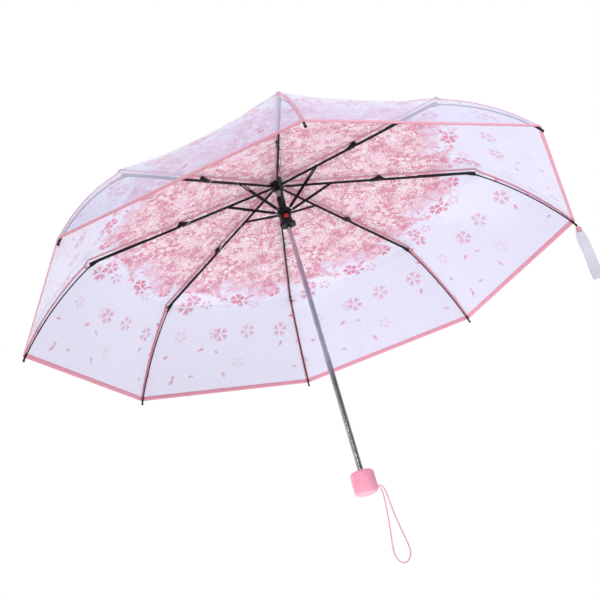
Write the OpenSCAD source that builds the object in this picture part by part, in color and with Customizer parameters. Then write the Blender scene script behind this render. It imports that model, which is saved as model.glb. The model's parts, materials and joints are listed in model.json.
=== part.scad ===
// Compact umbrella with eight three-fold ribs, a clear printed film canopy and a telescopic shaft.
// Origin: centre of the handle's flat bottom. +Z runs up the shaft. Rib 0 lies along -Y, rib 2 along +X.

/* [Ribs] */
// Inner rib, notch pivot to elbow pivot
inner_len = 174; // [150:1:210]
// Middle rib, elbow pivot to knee pivot
middle_len = 168; // [145:1:195]
// Outer rib, knee pivot to the end of its tip, in a straight line
outer_len = 198; // [170:1:230]
// Bow of the outer rib away from that straight line
outer_bow = 10; // [5:0.5:14]
// Slope of the inner and middle ribs below level, in degrees
rib_slope = 10.6; // [8:0.1:13]
// Slope of the outer rib below level, in degrees
outer_slope = 46.6; // [42:0.1:52]
// Width of a rib channel
rib_w = 3.0; // [2.8:0.1:3.6]
// Depth of a rib channel
rib_h = 3.2; // [3:0.1:3.6]
// Sheet thickness of the rib channels and stretchers
sheet_t = 0.5; // [0.4:0.05:0.6]
// Diameter of the outer rib's round wire
outer_d = 2.2; // [1.8:0.1:2.6]
// Diameter of the thin link wires and knee wires
link_d = 1.2; // [0.9:0.1:1.3]

/* [Joints] */
// Distance of the top notch's pivots from the upper tube's surface
notch_out = 4.2; // [3.8:0.1:5]
// Distance of the runner's pivots from its bore
runner_out = 5.2; // [5:0.1:6.2]
// Place of the stretcher's pivot along the inner rib
strut_at = 87.6; // [80:0.2:96]
// Height of the elbow pivot above the rib line
elbow_rise = 6; // [5:0.1:7]
// Depth of the knee pivot below the rib line
knee_drop = 3.2; // [3.1:0.1:3.8]
// Diameter of the elbow and knee pins
pin_d = 1.6; // [1.3:0.1:1.8]
// Running clearance of pins and tubes, on the radius
run_fit = 0.05; // [0.03:0.01:0.08]
// Side clearance between a tongue and its fork, each side
side_fit = 0.3; // [0.25:0.05:0.4]

/* [Shaft] */
// Outside diameter of the lower tube
lower_od = 9.4; // [8.8:0.1:11.3]
// Wall of each tube
tube_wall = 0.4; // [0.35:0.05:0.5]
// Length of the lower tube that shows above the handle
lower_show = 203; // [180:1:244]
// Length of the middle tube that shows
middle_show = 173; // [150:1:205]
// Length of the upper tube between the middle tube and the notch pivots
upper_show = 150; // [135:1:180]
// Length of each tube held inside the next when pulled out
tube_lap = 24; // [18:1:32]

/* [Runner] */
// Distance from the notch pivots down to the runner pivots, umbrella open
runner_gap = 52; // [46:1:58]
// Wall of the runner's neck
neck_wall = 1.8; // [1.4:0.1:2.2]
// Height of the neck's top above the runner pivots
neck_rise = 30; // [22:1:34]
// Wall of the runner's body
body_wall = 4.8; // [4.2:0.1:5.6]
// Depth of the runner's bottom below its pivots
body_drop = 28; // [24:1:32]
// Diameter of the push button
button_d = 8; // [7:0.2:9]
// Travel of the push button
button_travel = 1.6; // [1.2:0.1:1.8]

/* [Handle] */
// Diameter of the handle
handle_d = 38; // [32:1:44]
// Height of the handle
handle_h = 36; // [30:1:44]
// Radius of the handle's rounded rims
handle_round = 6; // [3:0.5:7]
// Wall of the handle around its insert
handle_wall = 5; // [4:0.5:7]

/* [Canopy] */
// Gap between the elbow brackets and the film
film_gap = 0.3; // [0.3:0.1:1.5]
// Gap between a rib's tip and the film at the hem
hem_gap = 1.7; // [1.5:0.1:2.8]
// Length of bare tip past the hem
tip_show = 7; // [5:0.5:10]
// Thickness of the film
film_t = 0.3; // [0.2:0.05:0.5]
// Width of the hem binding
hem_w = 6; // [4:0.5:8]
// Length of the closure strap
strap_len = 100; // [80:1:120]
// Width of the closure strap
strap_w = 21; // [16:1:26]
// Diameter of the wrist cord
cord_d = 2; // [1.6:0.1:2.4]

/* [Hidden] */
RIBS = 8;
$fn = 32;
EPS = 0.01;
BLACK = "#1b1b1e";
PINK = "#ef9fb8";
FILM = "#e9e4f6";

// Heights up the shaft
handle_top = handle_h;
lower_top = handle_top + lower_show;
middle_top = lower_top + middle_show;
notch_z = middle_top + upper_show;
runner_z = notch_z - runner_gap;
tube_floor = 6;
insert_floor = 10;
pin_z = (insert_floor + handle_h - handle_wall) / 2;
pin_rod_r = 1;
grip_bore_r = handle_d / 2 - handle_wall;
cap_t = 2.4;
cap_peg = 8;
middle_od = lower_od - 2 * tube_wall - 2 * run_fit;
upper_od = middle_od - 2 * tube_wall - 2 * run_fit;
slide_bore = lower_od / 2 + 2 * run_fit;
notch_r = upper_od / 2 + notch_out;
runner_r = slide_bore + runner_out;

// Notch moulding
notch_body_r = notch_r + 3.5;
notch_low = 3.5;
notch_high = 5;
collar_drop = 4;
cap_r = 14;
cap_lift = 1.1;
cap_stem = 14;
ring_d = 1.0;
eye_r = 2.0;
eye_t = 1.4;
eye_hole = ring_d / 2 + 0.15;
slot_w = eye_t + 2 * side_fit;

// Runner moulding
neck_r = slide_bore + neck_wall;
body_r = slide_bore + body_wall;
hub_r = runner_r + 2.5;
hub_up = 3.5;
hub_down = 4;
button_z = runner_z - 13;
button_face = body_r + 2.6;
button_len = 4;
boss_t = 2.2;
spring_len = button_travel + 1;
spring_coils = 3;
spring_wire = 0.5;
flange_r = body_r + 1.6;
flange_t = 4;

// Rib geometry in the plane of one rib, [distance from the shaft, height]
function dir(a) = [cos(a), sin(a)];
rib_dir = dir(-rib_slope);
rib_up = dir(90 - rib_slope);
notch_pt = [notch_r, notch_z];
strut_pt = notch_pt + strut_at * rib_dir;
elbow_line = notch_pt + inner_len * rib_dir;
knee_line = elbow_line + middle_len * rib_dir;
knee_pt = knee_line - knee_drop * rib_up;
tip_pt = knee_pt + outer_len * dir(-outer_slope);
runner_pt = [runner_r, runner_z];
strut_run = strut_pt - runner_pt;
strut_len = norm(strut_run);
strut_angle = atan2(strut_run[1], strut_run[0]);
bow_r = (outer_len * outer_len / 4 + outer_bow * outer_bow) / (2 * outer_bow);
bow_half = asin(outer_len / 2 / bow_r);

// Rib ends
rib_start = 6;
rib_stop = 2.2;
ear_t = 0.6;
ear_in = rib_w / 2;
tongue_t = rib_w - 2 * side_fit;
pin_r = pin_d / 2;
pin_bore = pin_r + run_fit;
ear_r = pin_r + 1.2;
head_r = pin_r + 0.6;
head_t = 0.5;
fork_gap = rib_w / 2 + side_fit;
fork_len = 24;
tip_r = outer_d / 2 + 0.6;

// Film profile: points from the crown to the hem, raised by rise above the ribs
crown_hole = upper_od / 2 + 0.4;
film_rise = elbow_rise + ear_r + film_gap;
hem_rise = tip_r + hem_gap;
film_steps = 8;
knee_mid = (90 - rib_slope + 90 - outer_slope) / 2;
knee_half = (outer_slope - rib_slope) / 2;
film_end = (outer_len - tip_show) / outer_len;
hem_start = film_end - hem_w / outer_len;
function bow_at(t) = let (a = bow_half * (2 * t - 1))
    [bow_r * sin(a) + outer_len / 2, bow_r * cos(a) - bow_r * cos(bow_half)];
function outer_pt(t, rise) = let (p = bow_at(t), a = bow_half * (1 - 2 * t) - outer_slope)
    knee_pt + p[0] * dir(-outer_slope) + p[1] * dir(90 - outer_slope)
        + (rise + (hem_rise - film_rise) * t) * dir(90 + a);
function film_line(rise) = concat(
    [[crown_hole, notch_z + rise + 0.5], [notch_r + 4, notch_z + rise]],
    [elbow_line + rise * rib_up],
    [knee_line + (rise / cos(knee_half)) * dir(knee_mid)],
    [for (i = [1:film_steps]) outer_pt(i / film_steps * hem_start, rise)],
    [outer_pt(film_end, rise)]
);
function reverse(v) = [for (i = [len(v) - 1:-1:0]) v[i]];

// Wrist cord: one loop that leaves the handle's side twice and hangs under its own weight
cord_side = -25;
cord_out = 7;
cord_in = 4.4;
knot_t = 2;
knot_gap = 0.3;
knot_face = grip_bore_r - knot_gap;
cord_loop = [
    [0, 0, 7], [3, 0, 6.8], [6, 0.4, 5], [8, 0.8, 2], [9.4, 1, -3], [10.4, 1, -12],
    [11.4, 0.8, -26], [12.8, 0.4, -42], [14.8, 0, -58], [17.2, 0, -74], [19.4, 0, -88], [20, 0, -97],
    [18.4, 0, -105], [14.4, 0, -111], [8.6, 0, -113.6], [2.6, 0, -112], [-2, 0, -107],
    [-4.6, 0, -99], [-4.8, 0, -90], [-3.2, 0, -78], [-0.6, -0.2, -62], [1.8, -0.4, -46],
    [3.8, -0.8, -30], [5, -1, -16], [5.2, -1, -6], [4.4, -0.8, 0], [2.6, -0.4, 3.4], [0, 0, 4.4]
];
cord_route = concat(
    [[knot_face - 0.1, 0, cord_out]],
    [for (p = cord_loop) p + [handle_d / 2, 0, 0]],
    [[knot_face - 0.1, 0, cord_in]]
);

// Moves a shape from the plane of rib 0..7 to its place round the shaft
module at_rib(k) rotate([0, 0, -90 + 360 / RIBS * k]) children();

// Stands a flat outline up in a rib's plane, w thick and centred on it
module plate(w) rotate([90, 0, 0]) linear_extrude(w, center = true) children();

// A pin across a rib's plane
module pin_across(r, w) rotate([90, 0, 0]) cylinder(r = r, h = w, center = true);

// Two equal plates either side of a rib's plane, from inner to inner + t
module pair(inner, t) for (s = [-1, 1]) translate([0, s * (inner + t / 2), 0]) plate(t) children();

// Channel along +X, open underneath
module channel(from, to, w, h, t) translate([from, 0, 0]) rotate([90, 0, 90]) linear_extrude(to - from)
    difference() {
        square([w, h], center = true);
        translate([0, -t]) square([w - 2 * t, h], center = true);
    }

module tube(od, wall, from, to) translate([0, 0, from]) difference() {
    cylinder(d = od, h = to - from, $fn = 64);
    translate([0, 0, -1]) cylinder(d = od - 2 * wall, h = to - from + 2, $fn = 64);
}

module ring(r, d) rotate_extrude($fn = 96) translate([r, 0]) circle(d = d, $fn = 24);

// Handle

module handle_grip() color(PINK) difference() {
    rotate_extrude($fn = 96) difference() {
        hull() {
            square([handle_d / 2 - handle_round, handle_h]);
            for (z = [handle_round, handle_h - handle_round])
                translate([handle_d / 2 - handle_round, z]) circle(r = handle_round);
        }
        translate([-handle_d, -1]) square([handle_d, handle_h + 2]);
    }
    translate([0, 0, -1]) cylinder(r = grip_bore_r, h = handle_h - handle_wall + 1, $fn = 64);
    cylinder(d = lower_od, h = handle_h + 1, $fn = 64);
    rotate([0, 0, cord_side]) translate([grip_bore_r - 1, 0, 0]) hull()
        for (z = [cord_in, cord_out])
            translate([0, 0, z]) rotate([0, 90, 0]) cylinder(d = cord_d + 0.4, h = handle_wall + 4);
}

module handle_insert() color("#d9d4d6") difference() {
    translate([0, 0, insert_floor])
        cylinder(r = grip_bore_r, h = handle_h - handle_wall - insert_floor, $fn = 64);
    cylinder(d = lower_od, h = handle_h, $fn = 64);
    translate([0, 0, pin_z]) pin_across(pin_rod_r, handle_d);
}

module base_cap() color(PINK) union() {
    cylinder(r = grip_bore_r, h = cap_t, $fn = 64);
    translate([0, 0, cap_t - EPS]) cylinder(r = lower_od / 2 - tube_wall - run_fit, h = cap_peg, $fn = 48);
}

module tube_pin() color("silver") translate([0, 0, pin_z]) pin_across(pin_rod_r, 2 * grip_bore_r - 2);

module cord_knot() color(PINK) rotate([0, 0, cord_side])
    translate([knot_face - knot_t, 0, (cord_in + cord_out) / 2]) rotate([0, 90, 0])
        cylinder(d1 = 2.5 * cord_d, d2 = 2.2 * cord_d, h = knot_t);

module wrist_cord() color(PINK) rotate([0, 0, cord_side]) sweep(cord_route, cord_d / 2, 8);

// Shaft

module lower_tube() color("silver") difference() {
    tube(lower_od, tube_wall, tube_floor, lower_top);
    translate([0, 0, pin_z]) pin_across(pin_rod_r, handle_d);
}

module middle_tube() color("silver") tube(middle_od, tube_wall, lower_top - tube_lap, middle_top);

module upper_tube() color("silver") tube(upper_od, tube_wall, middle_top - tube_lap, notch_z + notch_high);

// Crown

// Slots that let the eyes of eight ribs turn about pivots at radius r
module slots(r, out, low, high) for (k = [0:RIBS - 1]) at_rib(k)
    translate([r - eye_r - 0.4, -slot_w / 2, low]) cube([out, slot_w, high - low]);

module top_notch() color(BLACK) translate([0, 0, notch_z]) difference() {
    union() {
        translate([0, 0, -notch_low]) cylinder(r = notch_body_r, h = notch_low + notch_high, $fn = 64);
        translate([0, 0, -notch_low - collar_drop])
            cylinder(r = upper_od / 2 + 1.2, h = collar_drop + 1, $fn = 48);
    }
    translate([0, 0, -notch_low - collar_drop - 1])
        cylinder(d = upper_od, h = notch_low + collar_drop + notch_high + 2, $fn = 64);
    slots(notch_r, notch_body_r, -notch_low - 1, notch_high + 1);
    rotate_extrude($fn = 96) translate([notch_r - ring_d / 2 - 0.05, -ring_d / 2])
        square([ring_d + 0.1, notch_high + ring_d]);
}

module notch_wire() color("silver") translate([0, 0, notch_z]) ring(notch_r, ring_d);

module crown_cap() color(BLACK) translate([0, 0, notch_z + film_rise + cap_lift]) difference() {
    union() {
        rotate_extrude($fn = 64) polygon(concat([[0, 0], [cap_r, 0]],
            [for (a = [10:10:80]) [5 + (cap_r - 5) * cos(a), 6 * sin(a)]], [[5, 6], [3.4, 10], [0, 11]]));
        translate([0, 0, -cap_stem]) cylinder(r = upper_od / 2 - tube_wall, h = cap_stem + 1, $fn = 48);
    }
    translate([0, 0, -cap_stem - 1]) cylinder(r = 1, h = cap_stem - 5);
}

module canopy() color(FILM, 0.5) rotate_extrude($fn = 8)
    polygon(concat(film_line(film_rise + film_t), reverse(film_line(film_rise))));

// Folded binding round the film's edge, straight from tip to tip
module hem_binding() color(PINK) rotate_extrude($fn = 8) {
    fold = 0.4;
    gap = 0.1;
    t0 = hem_start;
    t1 = film_end + 0.3 / outer_len;
    t2 = film_end + 0.9 / outer_len;
    top = film_rise + film_t + gap;
    low = film_rise - gap;
    polygon([
        outer_pt(t0, top), outer_pt(t1, top), outer_pt(t1, low), outer_pt(t0, low), outer_pt(t0, low - fold),
        outer_pt(t2, low - fold), outer_pt(t2, top + fold), outer_pt(t0, top + fold)
    ]);
}

// Hangs from the hem at rib 2, pinched at its top
module closure_strap() color(FILM) at_rib(2) translate([tip_pt[0], 0, tip_pt[1] - tip_r - 1.2]) plate(0.5)
    polygon([
        [-4, 0], [4, 0], [strap_w / 2, -14], [strap_w / 2, -strap_len], [-strap_w / 2, -strap_len],
        [-strap_w / 2, -14]
    ]);

// Runner

module runner() color(BLACK) translate([0, 0, runner_z]) difference() {
    union() {
        translate([0, 0, hub_up - 1]) cylinder(r = neck_r, h = neck_rise - hub_up + 1, $fn = 64);
        translate([0, 0, -hub_down]) cylinder(r = hub_r, h = hub_up + hub_down, $fn = 64);
        translate([0, 0, -body_drop]) cylinder(r = body_r, h = body_drop, $fn = 64);
        translate([0, 0, -body_drop]) cylinder(r = flange_r, h = flange_t, $fn = 64);
        for (s = [-1, 1]) translate([s * 5, 0, -body_drop])
            cylinder(r = flange_r - 2.5, h = flange_t + 2, $fn = 48);
        translate([0, -body_r + 1, button_z - runner_z]) rotate([90, 0, 0])
            cylinder(d = button_d + 2.4, h = boss_t, $fn = 48);
    }
    translate([0, 0, -body_drop - 1]) cylinder(r = slide_bore, h = body_drop + neck_rise + 2, $fn = 64);
    slots(runner_r, hub_r, 1 - hub_down, hub_up + 1);
    rotate_extrude($fn = 96) translate([runner_r - ring_d / 2 - 0.05, -ring_d / 2])
        square([ring_d + 0.1, hub_up + ring_d]);
    translate([0, -button_face, button_z - runner_z]) rotate([-90, 0, 0])
        cylinder(r = button_d / 2 + run_fit, h = button_len + spring_len, $fn = 48);
}

module runner_wire() color("silver") translate([0, 0, runner_z]) ring(runner_r, ring_d);

module runner_button() color("#d6151c") translate([0, -button_face, button_z]) rotate([-90, 0, 0]) {
    translate([0, 0, 1]) cylinder(d = button_d, h = button_len - 1, $fn = 48);
    cylinder(d1 = button_d - 2, d2 = button_d, h = 1 + EPS, $fn = 48);
}

// Coils of the spring behind the button, at rest
module button_spring() color("silver") translate([0, -button_face + button_len, button_z]) rotate([-90, 0, 0])
    for (i = [0:spring_coils - 1]) translate([0, 0, spring_len * (i + 0.5) / spring_coils - 0.1])
        ring(0.3 * button_d, spring_wire);

// Ribs

module inner_frame(k) at_rib(k) translate([notch_r, 0, notch_z]) rotate([0, rib_slope, 0]) children();

module middle_frame(k) inner_frame(k) translate([inner_len, 0, 0]) children();

module outer_frame(k) at_rib(k) translate([knee_pt[0], 0, knee_pt[1]]) rotate([0, outer_slope, 0]) children();

module strut_frame(k) at_rib(k) translate([runner_r, 0, runner_z]) rotate([0, -strut_angle, 0]) children();

module inner_rib(k) color(BLACK) inner_frame(k) difference() {
    union() {
        plate(eye_t) {
            circle(r = eye_r);
            translate([0, -1.1]) square([rib_start + 6, 2.2]);
        }
        translate([rib_start, -rib_w / 2, -rib_h / 2]) cube([3, rib_w, rib_h]);
        channel(rib_start, inner_len - rib_stop, rib_w, rib_h, sheet_t);
        pair(ear_in, ear_t) {
            translate([inner_len, elbow_rise]) circle(r = ear_r);
            polygon([
                [inner_len - 16, -rib_h / 2], [inner_len - 16, rib_h / 2],
                [inner_len - 1.4, elbow_rise + ear_r - 0.6], [inner_len + 1.9, elbow_rise - 0.6],
                [inner_len - 1, -rib_h / 2]
            ]);
        }
        translate([inner_len, 0, elbow_rise]) pin_across(pin_r, 2 * (ear_in + ear_t + head_t));
        translate([inner_len, 0, elbow_rise]) for (s = [-1, 1])
            translate([0, s * (ear_in + ear_t + head_t / 2), 0]) pin_across(head_r, head_t);
    }
    pin_across(eye_hole, 10);
    translate([strut_at, 0, 0]) pin_across(0.6, 10);
}

module middle_rib(k) color(BLACK) middle_frame(k) {
    difference() {
        union() {
            channel(1, middle_len - rib_stop, rib_w, rib_h, sheet_t);
            plate(tongue_t) {
                translate([0, elbow_rise]) circle(r = pin_r + 1);
                polygon([
                    [-1.4, elbow_rise + 0.8], [1.2, elbow_rise + 1.2], [9, rib_h / 2], [9, -rib_h / 2],
                    [1, -rib_h / 2]
                ]);
            }
            pair(ear_in, ear_t) {
                translate([middle_len, -knee_drop]) circle(r = ear_r - 0.2);
                polygon([
                    [middle_len - 14, rib_h / 2], [middle_len - 14, -rib_h / 2],
                    [middle_len - 1.2, -knee_drop - ear_r + 0.6], [middle_len + 1.7, -knee_drop + 0.6],
                    [middle_len + 1, rib_h / 2]
                ]);
            }
            translate([middle_len, 0, -knee_drop]) {
                pin_across(pin_r, 2 * (ear_in + ear_t + head_t));
                for (s = [-1, 1]) translate([0, s * (ear_in + ear_t + head_t / 2), 0])
                    pin_across(head_r, head_t);
            }
            knee_wire();
        }
        translate([0, 0, elbow_rise]) pin_across(pin_bore, 10);
    }
}

// Thin wire above the outer half of a middle rib, bent down into the rib at each end
module knee_wire() {
    high = elbow_rise * 0.48;
    from = middle_len * 0.4;
    to = middle_len - 5;
    d = link_d * 0.75;
    translate([from, 0, high]) rotate([0, 90, 0]) cylinder(d = d, h = to - from);
    for (x = [from, to]) {
        translate([x, 0, rib_h / 2 - sheet_t]) cylinder(d = d, h = high - rib_h / 2 + sheet_t);
        translate([x, 0, high]) sphere(d = d);
    }
}

module outer_rib(k) color(BLACK) outer_frame(k) {
    difference() {
        union() {
            plate(tongue_t) circle(r = pin_r + 1);
            rotate([0, -bow_half, 0]) translate([1, 0, 0]) rotate([0, 90, 0])
                cylinder(d = outer_d + 0.8, h = 7);
            bow();
        }
        pin_across(pin_bore, 10);
    }
}

// The outer rib's arc, with a cap on its tip
module bow() {
    tip_cap = 14;
    translate([outer_len / 2, 0, -bow_r * cos(bow_half)]) rotate([90, 0, 0]) rotate([0, 0, 90 - bow_half])
        rotate_extrude(angle = 2 * bow_half, $fn = 360) translate([bow_r, 0]) circle(d = outer_d, $fn = 24);
    translate([outer_len, 0, 0]) rotate([0, bow_half, 0]) translate([-tip_cap, 0, 0.2]) rotate([0, 90, 0])
        cylinder(r = tip_r, h = tip_cap - 1);
    translate([outer_len - 1.2, 0, -0.2]) sphere(r = tip_r + 0.4, $fn = 24);
}

module stretcher(k) color(BLACK) strut_frame(k) difference() {
    union() {
        plate(eye_t) {
            circle(r = eye_r);
            translate([0, -1.1]) square([rib_start + 4, 2.2]);
        }
        translate([rib_start, -fork_gap - sheet_t, -1.5]) cube([3, 2 * (fork_gap + sheet_t), 3]);
        channel(rib_start, strut_len - fork_len + 2, 2 * (fork_gap + sheet_t), 3, sheet_t);
        pair(fork_gap, sheet_t) {
            translate([strut_len, 0]) circle(r = 1.6);
            translate([strut_len - fork_len, -1.5]) square([fork_len, 3]);
        }
        for (s = [-1, 1]) translate([strut_len, s * (fork_gap + sheet_t + head_t / 2), 0])
            pin_across(1.3, head_t);
    }
    pin_across(eye_hole, 10);
}

// Thin pull wire beside and below an inner rib, with a hook at each end
module link_wire(k) color(BLACK) inner_frame(k) {
    side = fork_gap + sheet_t + 0.4 + link_d / 2;
    deep = rib_h / 2 + 4.4;
    from = strut_at + 9;
    to = inner_len - 12;
    bend = 2.4;
    translate([from, side, -deep]) rotate([0, 90, 0]) cylinder(d = link_d, h = to - from);
    translate([from, side, -deep]) cylinder(d = link_d, h = deep - 1);
    translate([from, side, -deep]) sphere(d = link_d);
    translate([to, side, -deep + bend]) rotate([90, 0, 0]) rotate([0, 0, -90])
        rotate_extrude(angle = 180) translate([bend, 0]) circle(d = link_d, $fn = 24);
    translate([to - 5, side, -deep + 2 * bend]) rotate([0, 90, 0]) cylinder(d = link_d, h = 5);
}

// Tube of radius r with n sides along a route
function unit(v) = v / norm(v);
function heading(p, i) = unit(p[min(i + 1, len(p) - 1)] - p[max(i - 1, 0)]);
function section(c, t, r, n) = let (u = unit(cross([0, 1, 0.02], t)), v = cross(t, u))
    [for (j = [0:n - 1]) c + r * (cos(360 * j / n) * u + sin(360 * j / n) * v)];
module sweep(p, r, n) {
    last = len(p) - 1;
    polyhedron(
        points = [for (i = [0:last]) each section(p[i], heading(p, i), r, n)],
        faces = concat(
            [[for (j = [0:n - 1]) j]],
            [for (i = [0:last - 1]) for (j = [0:n - 1])
                [i * n + (j + 1) % n, i * n + j, (i + 1) * n + j, (i + 1) * n + (j + 1) % n]],
            [[for (j = [n - 1:-1:0]) last * n + j]]
        )
    );
}

handle_grip();
handle_insert();
base_cap();
tube_pin();
wrist_cord();
cord_knot();
lower_tube();
middle_tube();
upper_tube();
top_notch();
notch_wire();
crown_cap();
canopy();
hem_binding();
runner();
runner_wire();
runner_button();
button_spring();
closure_strap();
for (k = [0:RIBS - 1]) {
    inner_rib(k);
    middle_rib(k);
    outer_rib(k);
    stretcher(k);
    link_wire(k);
}
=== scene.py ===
# %% [markdown]
# # A compact umbrella with a clear printed canopy
# Eight ribs fold in three places and carry a film printed with blossoms. The metal, the plastic
# and every joint come ready made from the CAD model, which is loaded here and never moved. What
# is soft (film, seam tape, hem binding, strap and cord) is made in this file, fitted to the
# joints of the ribs, and then hung on the bodies that really carry it.
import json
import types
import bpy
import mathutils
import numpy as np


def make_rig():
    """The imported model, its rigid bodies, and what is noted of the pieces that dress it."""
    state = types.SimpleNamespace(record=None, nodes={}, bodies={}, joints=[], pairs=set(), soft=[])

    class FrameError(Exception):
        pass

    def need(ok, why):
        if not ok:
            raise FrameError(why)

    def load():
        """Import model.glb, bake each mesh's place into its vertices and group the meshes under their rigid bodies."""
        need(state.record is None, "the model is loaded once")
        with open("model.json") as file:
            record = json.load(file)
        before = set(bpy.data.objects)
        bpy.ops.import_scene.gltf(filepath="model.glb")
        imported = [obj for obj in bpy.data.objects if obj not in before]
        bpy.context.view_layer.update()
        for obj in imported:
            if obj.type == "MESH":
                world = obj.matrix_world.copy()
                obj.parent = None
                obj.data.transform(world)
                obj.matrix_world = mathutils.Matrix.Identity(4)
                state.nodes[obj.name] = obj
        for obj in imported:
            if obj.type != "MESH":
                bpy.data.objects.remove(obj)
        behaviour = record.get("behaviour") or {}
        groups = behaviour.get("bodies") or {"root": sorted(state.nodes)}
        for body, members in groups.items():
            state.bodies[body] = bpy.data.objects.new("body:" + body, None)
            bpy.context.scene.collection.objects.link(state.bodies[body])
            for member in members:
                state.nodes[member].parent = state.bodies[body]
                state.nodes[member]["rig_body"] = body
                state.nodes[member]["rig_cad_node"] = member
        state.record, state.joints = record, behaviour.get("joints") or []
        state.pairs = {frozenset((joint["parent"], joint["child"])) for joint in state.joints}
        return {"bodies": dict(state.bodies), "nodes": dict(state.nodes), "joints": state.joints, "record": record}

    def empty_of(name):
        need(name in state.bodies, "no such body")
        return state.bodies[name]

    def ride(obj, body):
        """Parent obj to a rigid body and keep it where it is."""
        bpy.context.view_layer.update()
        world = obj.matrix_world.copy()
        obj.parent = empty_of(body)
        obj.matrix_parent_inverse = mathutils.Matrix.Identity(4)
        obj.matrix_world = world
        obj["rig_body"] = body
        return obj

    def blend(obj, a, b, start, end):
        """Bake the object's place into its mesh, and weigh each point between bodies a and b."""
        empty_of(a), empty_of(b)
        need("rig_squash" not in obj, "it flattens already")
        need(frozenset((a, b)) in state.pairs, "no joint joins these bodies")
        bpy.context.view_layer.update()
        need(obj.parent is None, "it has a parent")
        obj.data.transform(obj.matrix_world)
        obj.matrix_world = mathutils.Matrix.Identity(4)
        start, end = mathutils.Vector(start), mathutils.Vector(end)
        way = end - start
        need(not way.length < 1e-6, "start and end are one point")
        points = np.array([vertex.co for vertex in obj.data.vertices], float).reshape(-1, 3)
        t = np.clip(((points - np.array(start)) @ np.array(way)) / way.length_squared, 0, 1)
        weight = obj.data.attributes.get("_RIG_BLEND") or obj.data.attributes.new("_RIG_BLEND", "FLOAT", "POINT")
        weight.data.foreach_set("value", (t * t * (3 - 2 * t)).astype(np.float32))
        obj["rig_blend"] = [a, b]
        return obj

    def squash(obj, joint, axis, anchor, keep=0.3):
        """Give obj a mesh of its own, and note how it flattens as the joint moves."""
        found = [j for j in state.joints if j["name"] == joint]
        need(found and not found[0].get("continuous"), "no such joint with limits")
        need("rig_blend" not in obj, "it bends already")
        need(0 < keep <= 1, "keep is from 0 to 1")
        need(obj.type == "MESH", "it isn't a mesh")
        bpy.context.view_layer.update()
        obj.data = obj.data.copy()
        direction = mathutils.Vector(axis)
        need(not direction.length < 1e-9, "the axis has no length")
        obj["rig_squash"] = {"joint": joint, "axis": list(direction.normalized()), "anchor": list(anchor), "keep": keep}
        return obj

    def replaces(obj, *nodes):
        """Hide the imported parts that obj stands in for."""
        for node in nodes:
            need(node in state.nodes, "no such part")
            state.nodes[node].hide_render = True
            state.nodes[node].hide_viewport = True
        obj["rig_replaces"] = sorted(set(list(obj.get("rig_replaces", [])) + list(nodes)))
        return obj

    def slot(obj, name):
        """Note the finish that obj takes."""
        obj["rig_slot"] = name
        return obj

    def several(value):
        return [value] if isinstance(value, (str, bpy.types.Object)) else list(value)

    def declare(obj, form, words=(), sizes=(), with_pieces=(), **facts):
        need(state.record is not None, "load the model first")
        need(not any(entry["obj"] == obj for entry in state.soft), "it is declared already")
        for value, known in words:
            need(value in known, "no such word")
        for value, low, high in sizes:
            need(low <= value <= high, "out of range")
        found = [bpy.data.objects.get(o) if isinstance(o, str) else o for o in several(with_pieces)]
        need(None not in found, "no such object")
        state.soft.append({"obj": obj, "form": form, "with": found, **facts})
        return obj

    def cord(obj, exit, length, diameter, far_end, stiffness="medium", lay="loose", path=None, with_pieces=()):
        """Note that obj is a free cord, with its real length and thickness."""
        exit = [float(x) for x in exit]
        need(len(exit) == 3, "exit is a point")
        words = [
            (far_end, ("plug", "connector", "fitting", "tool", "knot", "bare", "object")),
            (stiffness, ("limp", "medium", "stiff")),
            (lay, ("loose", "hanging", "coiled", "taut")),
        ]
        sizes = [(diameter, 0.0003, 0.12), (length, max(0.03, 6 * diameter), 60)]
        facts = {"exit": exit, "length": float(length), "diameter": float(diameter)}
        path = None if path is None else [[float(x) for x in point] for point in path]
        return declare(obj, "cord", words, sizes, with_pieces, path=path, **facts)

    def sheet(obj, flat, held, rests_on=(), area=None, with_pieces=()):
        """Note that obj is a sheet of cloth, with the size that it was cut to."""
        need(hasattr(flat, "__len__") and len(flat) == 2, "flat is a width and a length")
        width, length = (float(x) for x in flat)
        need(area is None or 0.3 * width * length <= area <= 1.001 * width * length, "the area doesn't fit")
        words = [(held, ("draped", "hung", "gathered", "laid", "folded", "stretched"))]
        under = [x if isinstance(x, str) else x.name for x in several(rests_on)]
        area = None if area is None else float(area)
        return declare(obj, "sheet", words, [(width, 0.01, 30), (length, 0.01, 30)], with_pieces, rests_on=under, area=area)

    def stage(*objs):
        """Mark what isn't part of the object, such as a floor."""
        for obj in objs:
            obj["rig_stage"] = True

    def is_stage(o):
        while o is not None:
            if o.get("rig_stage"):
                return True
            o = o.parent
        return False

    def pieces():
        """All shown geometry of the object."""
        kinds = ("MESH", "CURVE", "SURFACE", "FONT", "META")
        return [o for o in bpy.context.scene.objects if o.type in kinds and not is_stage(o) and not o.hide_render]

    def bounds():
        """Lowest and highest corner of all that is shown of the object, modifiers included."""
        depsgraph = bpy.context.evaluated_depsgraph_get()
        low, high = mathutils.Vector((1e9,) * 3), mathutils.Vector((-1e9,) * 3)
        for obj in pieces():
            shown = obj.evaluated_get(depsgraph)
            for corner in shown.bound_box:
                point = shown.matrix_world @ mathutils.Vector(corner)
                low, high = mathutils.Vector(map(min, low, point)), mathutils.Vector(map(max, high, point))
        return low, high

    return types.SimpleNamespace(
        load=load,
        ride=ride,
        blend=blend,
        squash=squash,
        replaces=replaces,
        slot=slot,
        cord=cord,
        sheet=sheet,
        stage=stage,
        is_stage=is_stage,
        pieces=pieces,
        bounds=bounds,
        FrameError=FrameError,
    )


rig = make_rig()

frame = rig.load()

from collections import namedtuple
import json
import math
import bpy
import numpy as np
from mathutils import Matrix, Vector

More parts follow.
